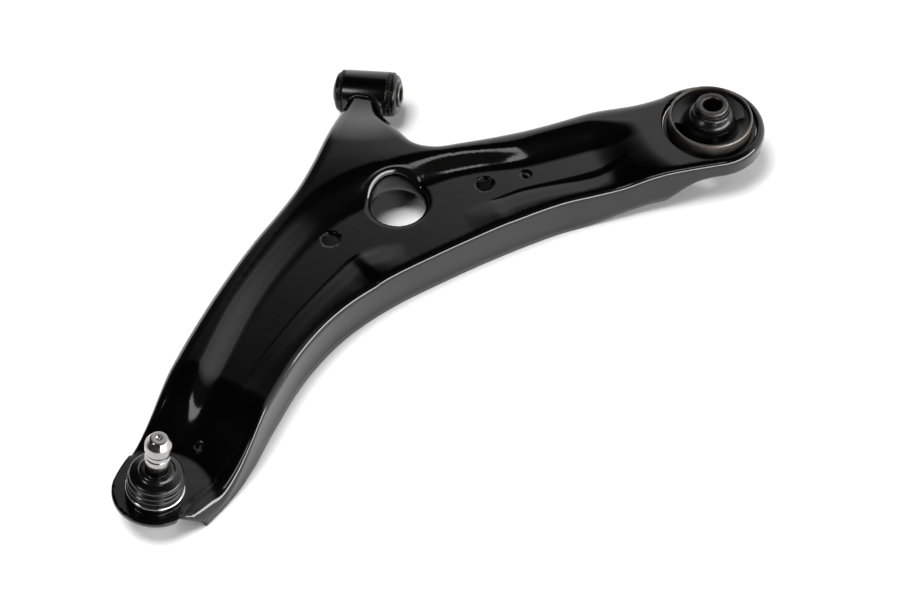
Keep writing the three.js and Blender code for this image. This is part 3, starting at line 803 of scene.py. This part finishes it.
def boot_profile():
    """Outside of the boot from the clamp ring to the lip on the stud, then back down its inside."""
    outside = smooth_run([
        (17.3, 4.7), (17.6, 5.4), (18.5, 6.4), (18.85, 7.6), (18.6, 8.9), (17.5, 9.9), (17.1, 10.4),
        (17.7, 10.9), (18.6, 11.7), (18.8, 12.7), (18.5, 13.7), (17.3, 14.6), (16.9, 15.1), (17.4, 15.7),
        (17.9, 16.8), (17.7, 18.1), (16.6, 19.3), (14.8, 20.1), (13.2, 20.7), (12, 21.6), (11.3, 22.6),
        (10.4, 23.3), (9.4, 23.6), (7.8, 23.6)], 0.3)
    groove = [(7.2, 23.3), (7, 22.8), (6.95, 21.5)]
    inside = smooth_run([
        (7.4, 20.1), (9.6, 19.7), (11.2, 19.4), (13.6, 18.6), (15.6, 17.4), (16, 16.4), (15.4, 15.3), (15.5, 14.6),
        (16.7, 13.4), (16.8, 12.4), (15.9, 11), (15.6, 10.2), (16.6, 8.9), (16.8, 7.6), (16.5, 6.3),
        (16.5, 5)], 0.4)
    return [(16.6, 0.7), (17.1, 0.8), (17.2, 4.4), *outside, *groove, *inside, (16.5, 1)]


def boot(mat):
    return turned("dust_boot_folds", boot_profile(), ball_matrix(), mat, sides=128)


def clamp_ring(mat):
    profile = [(19, 0.4), (19.6, 0.9), (19.6, 3.9), (18.9, 4.6), (17.8, 4.6), (17.5, 4.2), (17.5, 0.4)]
    return turned("boot_clamp_ring", rounded(profile, 0.35), ball_matrix(), mat)


def lip_ring(mat):
    return turned("boot_lip_ring", circle_ring(9.9, 21.5, 0.5), ball_matrix(), mat)


def circle_ring(radius, height, wire):
    return [(radius + wire * math.cos(a), height + wire * math.sin(a)) for a in np.radians(np.arange(0, 360, 30))]


# ---------------------------------------------------------------- weld between the neck and the eye


def weld_path(rows):
    """Where the neck's outside meets the eye, from the left hem over the top to the right hem."""
    def crossing(run):
        out = np.linalg.norm(local(eye_matrix(), run)[:, :2], axis=1) - (EYE_R + 0.25)
        hits = np.nonzero(np.diff(np.sign(out)))[0]
        if not len(hits):
            return None
        k = hits[np.argmin(run[hits, 1])]
        return mix(run[k], run[k + 1], out[k] / (out[k] - out[k + 1]))

    near_eye = reach(rows[0][:, :2], FRONT) < 60
    left = [row[near_eye & (row[:, 0] < FRONT[0])] for row in rows]
    right = [row[near_eye & (row[:, 0] >= FRONT[0])] for row in rows]
    top = []
    for x in np.linspace(-98, -88, 9):
        xy = np.column_stack([np.full(60, x), np.linspace(135, 165, 60)])
        top.append(np.column_stack([xy, sheet_z(xy)]))
    found = [crossing(run) for run in [*left[::-1], *top, *right]]
    return np.array([p for p in found if p is not None])


def weld_bead(mat):
    rows = rolled_rows()
    path = weld_path(rows)
    path = path[path[:, 2] > 14]
    path = spline_space(path, 0.45)
    centre = np.array([FRONT[0], FRONT[1] - 40, 20])
    forward = unit(np.gradient(path, axis=0))
    outwards = unit(path - FRONT)
    outwards = unit(outwards - (outwards * forward).sum(1)[:, None] * forward)
    aside = np.cross(forward, outwards)
    shell = Shell()
    along = np.append(0, np.cumsum(np.linalg.norm(np.diff(path, axis=0), axis=1)))
    length = along[-1]
    rows = []
    for p, f, o, s, d in zip(path, forward, outwards, aside, along):
        ripple = 0.16 * abs(math.sin(math.pi * d / 1.7))
        taper = min(1, 0.35 + min(d, length - d) / 4)
        radius = (2.1 + ripple + 0.12 * noise.noise(Vector(p) * 0.5)) * taper
        ring = []
        for a in np.radians(np.arange(0, 360, 22.5)):
            ring.append(p + (s * math.cos(a) * 1.25 + o * math.sin(a) * 0.85) * radius)
        rows.append(np.array(ring))
    shell.grid([r[::-1] for r in rows], closed=True)
    shell.faces += [list(shell.add(rows[0])), list(shell.add(rows[-1]))[::-1]]
    return mesh_object("eye_weld_bead", np.array(shell.points), shell.faces, mat)


def spline_space(points, step):
    """Smooths a run of points in space and cuts it at even steps."""
    for _ in range(3):
        points[1:-1] = (points[:-2] + 2 * points[1:-1] + points[2:]) / 4
    length = np.append(0, np.cumsum(np.linalg.norm(np.diff(points, axis=0), axis=1)))
    at = np.linspace(0, length[-1], max(4, round(length[-1] / step)))
    run = np.column_stack([np.interp(at, length, points[:, k]) for k in range(3)])
    for _ in range(8):
        run[1:-1] = (run[:-2] + 2 * run[1:-1] + run[2:]) / 4
    return run


# ---------------------------------------------------------------- materials


class Nodes:
    """A material's nodes, made and wired one after another."""

    def __init__(self, name):
        self.mat = bpy.data.materials.new(name)
        self.mat.use_nodes = True
        self.tree = self.mat.node_tree
        self.shader = self.tree.nodes["Principled BSDF"]

    def make(self, kind, **values):
        node = self.tree.nodes.new(kind)
        for key, value in values.items():
            setattr(node, key, value)
        return node

    def link(self, a, out, b, into):
        self.tree.links.new(a.outputs[out], b.inputs[into])

    def place(self, matrix=None):
        """Object coordinates, in the piece's own axes where a matrix is given."""
        source = self.make("ShaderNodeTexCoord")
        if matrix is None:
            return source, "Object"
        where, turn, _ = (Matrix.Translation(-Vector(ORIGIN)) @ matrix).decompose()
        local_axes = self.make("ShaderNodeMapping", vector_type="TEXTURE")
        local_axes.inputs["Location"].default_value = where * MM
        local_axes.inputs["Rotation"].default_value = turn.to_euler()
        self.link(source, "Object", local_axes, "Vector")
        return local_axes, "Vector"

    def lathe_lines(self, matrix):
        """Radius and height in the piece's own axes, so that a fine noise of them makes turned lines."""
        axes, out = self.place(matrix)
        parts = self.make("ShaderNodeSeparateXYZ")
        self.link(axes, out, parts, 0)
        flat = self.make("ShaderNodeCombineXYZ")
        self.link(parts, "X", flat, "X")
        self.link(parts, "Y", flat, "Y")
        radius = self.make("ShaderNodeVectorMath", operation="LENGTH")
        self.link(flat, 0, radius, 0)
        rows = self.make("ShaderNodeCombineXYZ")
        self.link(radius, "Value", rows, "X")
        self.link(parts, "Z", rows, "Z")
        return rows, 0

    def noise(self, source, scale, detail=3.0, roughness=0.55):
        node = self.make("ShaderNodeTexNoise")
        node.inputs["Scale"].default_value = scale
        node.inputs["Detail"].default_value = detail
        node.inputs["Roughness"].default_value = roughness
        self.link(*source, node, "Vector")
        return node, "Fac"

    def to_range(self, source, low_value, high_value, start=0.3, end=0.7):
        node = self.make("ShaderNodeMapRange")
        for key, value in zip(("From Min", "From Max", "To Min", "To Max"), (start, end, low_value, high_value)):
            node.inputs[key].default_value = value
        self.link(*source, node, "Value")
        return node, "Result"

    def colours(self, source, *stops):
        node = self.make("ShaderNodeValToRGB")
        ramp = node.color_ramp
        while len(ramp.elements) < len(stops):
            ramp.elements.new(0.5)
        for element, (position, colour) in zip(ramp.elements, stops):
            element.position = position
            element.color = (*colour, 1)
        self.link(*source, node, "Fac")
        self.link(node, "Color", self.shader, "Base Color")
        return node, "Color"

    def bump(self, source, strength, distance=0.0002, after=None):
        node = self.make("ShaderNodeBump")
        node.inputs["Strength"].default_value = strength
        node.inputs["Distance"].default_value = distance
        self.link(*source, node, "Height")
        if after:
            self.link(after, "Normal", node, "Normal")
        self.link(node, "Normal", self.shader, "Normal")
        return node

    def roughness(self, source, low_value, high_value):
        node, out = self.to_range(source, low_value, high_value)
        self.link(node, out, self.shader, "Roughness")


def black_paint(name="black_paint", roughness=(0.08, 0.13)):
    n = Nodes(name)
    where = n.place()
    n.colours(n.noise(where, 18, 4), (0.3, (0.0012, 0.0012, 0.0013)), (0.7, (0.0024, 0.0023, 0.0022)))
    n.roughness(n.noise(where, 45, 5), *roughness)
    peel = n.bump(n.noise(where, 420, 2), 0.10, 0.0001)
    n.bump(n.noise(where, 60, 2), 0.12, 0.0004, after=peel)
    n.shader.inputs["Specular IOR Level"].default_value = 0.48
    return n.mat


def turned_metal(name, matrix, low_colour, high_colour, roughness, lines=0.25, patches=40):
    n = Nodes(name)
    where = n.place(matrix)
    n.colours(n.noise(where, patches, 5, 0.6), (0.3, low_colour), (0.7, high_colour))
    n.roughness(n.noise(where, patches * 3, 4), *roughness)
    n.bump(n.noise(n.lathe_lines(matrix), 2600, 2, 0.7), lines, 0.00008)
    n.shader.inputs["Metallic"].default_value = 1.0
    return n.mat


def rubber(name, low_colour, high_colour, roughness, grain=900, strength=0.2):
    n = Nodes(name)
    where = n.place()
    n.colours(n.noise(where, 70, 5, 0.6), (0.3, low_colour), (0.7, high_colour))
    n.roughness(n.noise(where, 160, 4), *roughness)
    n.bump(n.noise(where, grain, 3), strength, 0.0001)
    n.shader.inputs["Specular IOR Level"].default_value = 0.45
    return n.mat


def grey(value, warm=1.0):
    return (value * warm, value, value / warm)


# ---------------------------------------------------------------- the arm

paint = black_paint()
eye_black = black_paint("eye_paint", (0.16, 0.26))
front_steel = turned_metal("front_tube_steel", eye_matrix(), grey(0.10, 1.05), grey(0.22, 1.08), (0.35, 0.5))
rear_band = turned_metal(
    "rear_sleeve_steel", rear_matrix(), (0.13, 0.115, 0.1), (0.25, 0.225, 0.2), (0.34, 0.46), 0.35,
)
rear_steel = turned_metal(
    "rear_tube_steel", rear_matrix(), grey(0.07, 1.1), grey(0.13, 1.1), (0.34, 0.48), 0.3,
)
front_band = turned_metal("front_sleeve_steel", eye_matrix(), grey(0.1, 1.06), grey(0.2, 1.06), (0.4, 0.5))
stud_steel = turned_metal(
    "stud_steel", ball_matrix(), grey(0.3, 1.02), grey(0.42, 1.02), (0.14, 0.24), 0.3, 60,
)
ring_steel = turned_metal("clamp_steel", ball_matrix(), grey(0.55), grey(0.72), (0.12, 0.22), 0.2, 60)
zinc = turned_metal("zinc_plating", ball_matrix(), grey(0.5, 1.02), grey(0.7, 1.0), (0.3, 0.42), 0.2, 80)
spring = turned_metal("spring_steel", ball_matrix(), grey(0.15), grey(0.24), (0.3, 0.4), 0.2, 80)
bush_rubber = rubber("bush_rubber", grey(0.003), grey(0.006), (0.2, 0.3))
boot_rubber = rubber("boot_rubber", grey(0.003), grey(0.005), (0.18, 0.28), 1200, 0.12)
plastic = rubber("moulded_plastic", grey(0.003), grey(0.005), (0.22, 0.34), 1500, 0.1)
nylon = rubber("nylon", (0.62, 0.58, 0.46), (0.7, 0.66, 0.54), (0.4, 0.5), 1200, 0.1)

add(pressing(paint), "arm", "arm_pressing", slot="black_paint")
add(weld_bead(eye_black), "arm", "front_eye_weld", slot="black_paint")
add(eye_tube(eye_black), "arm", "front_eye_tube", slot="black_paint")
add(press_sleeve(front_band), "arm", "front_bush_outer_sleeve", slot="bare_steel")
add(end_ring("front_end_ring_left", -1, plastic), "arm", "front_bush_end_ring_outer", slot="moulded_plastic")
add(end_ring("front_end_ring_right", 1, plastic), "arm", "front_bush_end_ring_inner", slot="moulded_plastic")
add(front_rubber(bush_rubber), "arm", "front_bush_rubber", slot="bush_rubber")
add(front_sleeve(front_steel), "front_inner", "front_bush_inner_sleeve", slot="phosphated_steel")
add(rear_ring(eye_black), "arm", "rear_bush_ring", slot="black_paint")
add(rear_press_sleeve(rear_band), "arm", "rear_bush_outer_sleeve", slot="bare_steel")
core = rear_core(bush_rubber)
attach(core, "rear_inner")
add(rear_webs(bush_rubber), "arm", "rear_bush_rubber", slot="bush_rubber")
add(rear_sleeve(rear_steel), "rear_inner", "rear_bush_inner_sleeve", slot="phosphated_steel")
add(joint_housing(zinc), "arm", "ball_joint_housing", slot="zinc_plate")
add(joint_cap(zinc), "arm", "ball_joint_end_cap", slot="zinc_plate")
add(stud(stud_steel), "stud", "ball_stud", slot="bright_steel")
add(clamp_ring(ring_steel), "arm", "boot_lower_ring", slot="bright_steel")
add(lip_ring(spring), "boot_top", "boot_upper_ring", slot="spring_steel")

dust_boot = boot(boot_rubber)
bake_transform(dust_boot)
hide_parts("dust_boot")

for node, mat in (("ball_preload_washer", spring), ("ball_seat", nylon)):
    bpy.data.objects[node].material_slots[0].material = mat

# ---------------------------------------------------------------- floor, light and camera

middle = (Vector(cad_box[0]) + Vector(cad_box[1])) / 2
ground = cad_box[0][2]


def floor():
    n = Nodes("floor")
    n.shader.inputs["Base Color"].default_value = (0.9, 0.9, 0.9, 1)
    n.shader.inputs["Roughness"].default_value = 0.9
    n.shader.inputs["Specular IOR Level"].default_value = 0.2
    rows = [circle((0, 0), radius, 64) for radius in (1, 400, 2000, 6000)]
    shell = Shell()
    shell.grid([np.column_stack([xy, np.zeros(64)])[::-1] for xy in rows], closed=True)
    shell.faces.append(list(shell.add(np.column_stack([rows[0], np.zeros(64)]))))
    obj = mesh_object("floor", np.array(shell.points), shell.faces, n.mat)
    obj.location.z = ground
    return obj


def softbox(name, azimuth, elevation, distance, width, height, power):
    """A rectangular light that faces the arm from a direction seen from the arm."""
    a, e = math.radians(azimuth), math.radians(elevation)
    direction = Vector((math.sin(a) * math.cos(e), math.cos(a) * math.cos(e), math.sin(e)))
    light = bpy.data.lights.new(name, "AREA")
    light.shape, light.size, light.size_y, light.energy = "RECTANGLE", width, height, power
    obj = bpy.data.objects.new(name, light)
    bpy.context.scene.collection.objects.link(obj)
    obj.location = Vector((0, 0, ground)) + direction * distance
    obj.rotation_euler = direction.to_track_quat("Z", "Y").to_euler()
    return obj


def only_on(obj, lights):
    """Lets these lights shine on one object only."""
    lit = bpy.data.collections.new(obj.name + "_only")
    lit.objects.link(obj)
    for light in lights:
        light.light_linking.receiver_collection = lit


WORLD_LEVELS = [(0.0, 1.0), (0.5, 0.75), (0.67, 0.6), (0.725, 0.8), (0.785, 0.42), (0.87, 0.08), (1.0, 0.02)]
WORLD_STRENGTH = 1.5


def surroundings():
    """A studio that is pale low down at the back, and dark overhead and in front."""
    world = bpy.data.worlds.new("studio")
    bpy.context.scene.world = world
    world.use_nodes = True
    tree = world.node_tree
    where = tree.nodes.new("ShaderNodeTexCoord")
    parts = tree.nodes.new("ShaderNodeSeparateXYZ")
    tree.links.new(where.outputs["Generated"], parts.inputs[0])
    levels = tree.nodes.new("ShaderNodeValToRGB")
    while len(levels.color_ramp.elements) < len(WORLD_LEVELS):
        levels.color_ramp.elements.new(0.5)
    for element, (height, level) in zip(levels.color_ramp.elements, WORLD_LEVELS):
        element.position, element.color = height, (level, level, level, 1)
    tree.links.new(parts.outputs["Z"], levels.inputs["Fac"])
    towards = tree.nodes.new("ShaderNodeVectorMath")
    towards.operation = "DOT_PRODUCT"
    towards.inputs[1].default_value = (0.42, 0.906, 0)
    tree.links.new(where.outputs["Generated"], towards.inputs[0])
    behind = tree.nodes.new("ShaderNodeMapRange")
    behind.interpolation_type = "SMOOTHSTEP"
    for key, value in zip(("From Min", "From Max", "To Min", "To Max"), (0.35, 0.68, 0.05, WORLD_STRENGTH)):
        behind.inputs[key].default_value = value
    tree.links.new(towards.outputs["Value"], behind.inputs["Value"])
    tree.links.new(levels.outputs["Color"], tree.nodes["Background"].inputs["Color"])
    tree.links.new(behind.outputs["Result"], tree.nodes["Background"].inputs["Strength"])


VIEW_AZIMUTH, VIEW_ELEVATION, VIEW_DISTANCE = 10.0, 51.2, 1.5
FOCAL_LENGTH, SENSOR = 84.0, 36.0


def camera():
    data = bpy.data.cameras.new("camera")
    data.lens, data.sensor_width = FOCAL_LENGTH, SENSOR
    obj = bpy.data.objects.new("camera", data)
    bpy.context.scene.collection.objects.link(obj)
    a, e = math.radians(VIEW_AZIMUTH), math.radians(VIEW_ELEVATION)
    back = Vector((math.sin(a) * math.cos(e), -math.cos(a) * math.cos(e), math.sin(e)))
    obj.location = Vector(-ORIGIN * MM) + back * VIEW_DISTANCE
    obj.rotation_euler = back.to_track_quat("Z", "Y").to_euler()
    bpy.context.scene.camera = obj


surroundings()
softbox("right_strip", 113, 10, 2.4, 3.4, 0.62, 96)
softbox("right_front", 137, 45, 2.4, 0.6, 0.5, 3.6)
softbox("left_front", 225, 45, 2.4, 0.5, 0.5, 8)
only_on(floor(), [softbox("over_floor", 250, 76, 3, 1.4, 1.4, 96)])
camera()
bpy.context.scene.view_settings.view_transform = "Standard"


def corners(box):
    return [list(corner) for corner in box]
